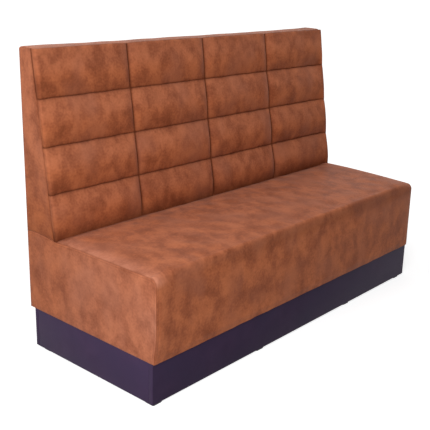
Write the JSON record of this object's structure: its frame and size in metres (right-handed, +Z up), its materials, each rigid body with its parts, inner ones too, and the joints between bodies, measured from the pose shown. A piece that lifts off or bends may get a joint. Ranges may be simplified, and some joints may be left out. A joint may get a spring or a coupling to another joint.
{
  "type": "restaurant booth bench",
  "caption": "Freestanding restaurant booth bench: leather-look upholstered seat box and leaning channelled backrest on a dark laminated box plinth with flat glides.",
  "frame": {"origin": "on the floor, under the middle of the bench's bounding box", "axes": "+X along the bench to a sitter's left as seen from the front (the viewer's right), -Y out of the front, +Z up"},
  "size_m": [1.65, 0.665, 1.11],
  "materials": {
    "leather": "mottled cognac, low satin sheen",
    "laminate": "smooth dark violet-black laminate",
    "softwood": "planed, unfinished",
    "plywood": "unfinished",
    "hardboard": "unfinished",
    "foam": "open-cell foam",
    "steel": "zinc-plated",
    "glide_plastic": "matt black"
  },
  "bodies": {
    "root": {"back_bolt_washers": "steel", "back_bolts": "steel", "back_bottom_board": "plywood", "back_channel_panel_1": "leather", "back_channel_panel_2": "leather", "back_channel_panel_3": "leather", "back_channel_panel_4": "leather", "back_corner_screws_left": "steel", "back_corner_screws_right": "steel", "back_end_frame_left": "plywood", "back_end_frame_right": "plywood", "back_face_board": "plywood", "back_face_screws": "steel", "back_foam_sheet": "foam", "back_rear_board": "hardboard", "back_rear_cover": "leather", "back_rear_nails": "steel", "back_rib_1": "plywood", "back_rib_2": "plywood", "back_rib_3": "plywood", "back_side_cover_left": "leather", "back_side_cover_right": "leather", "back_tee_nuts": "steel", "back_top_cover": "leather", "back_top_rail": "plywood", "glide_nails": "steel", "glides": "glide_plastic", "plinth_block_screws": "steel", "plinth_corner_blocks": "softwood", "plinth_dowels": "softwood", "plinth_end_board_left": "laminate", "plinth_end_board_right": "laminate", "plinth_fixing_screws": "steel", "plinth_front_board": "laminate", "plinth_rear_board": "laminate", "plinth_rib_left": "laminate", "plinth_rib_right": "laminate", "seat_bottom_batten_front": "softwood", "seat_bottom_batten_rear": "softwood", "seat_corner_screws_left": "steel", "seat_corner_screws_right": "steel", "seat_cover": "leather", "seat_deck": "plywood", "seat_deck_screws": "steel", "seat_end_panel_left": "plywood", "seat_end_panel_right": "plywood", "seat_foam": "foam", "seat_front_foam": "foam", "seat_front_panel": "plywood", "seat_packing_batten_front": "softwood", "seat_packing_batten_rear": "softwood", "seat_packing_end_blocks": "softwood", "seat_rear_cover": "leather", "seat_rear_panel": "plywood", "seat_rib_left": "plywood", "seat_rib_right": "plywood", "seat_side_cover_left": "leather", "seat_side_cover_right": "leather"}
  },
  "joints": []
}
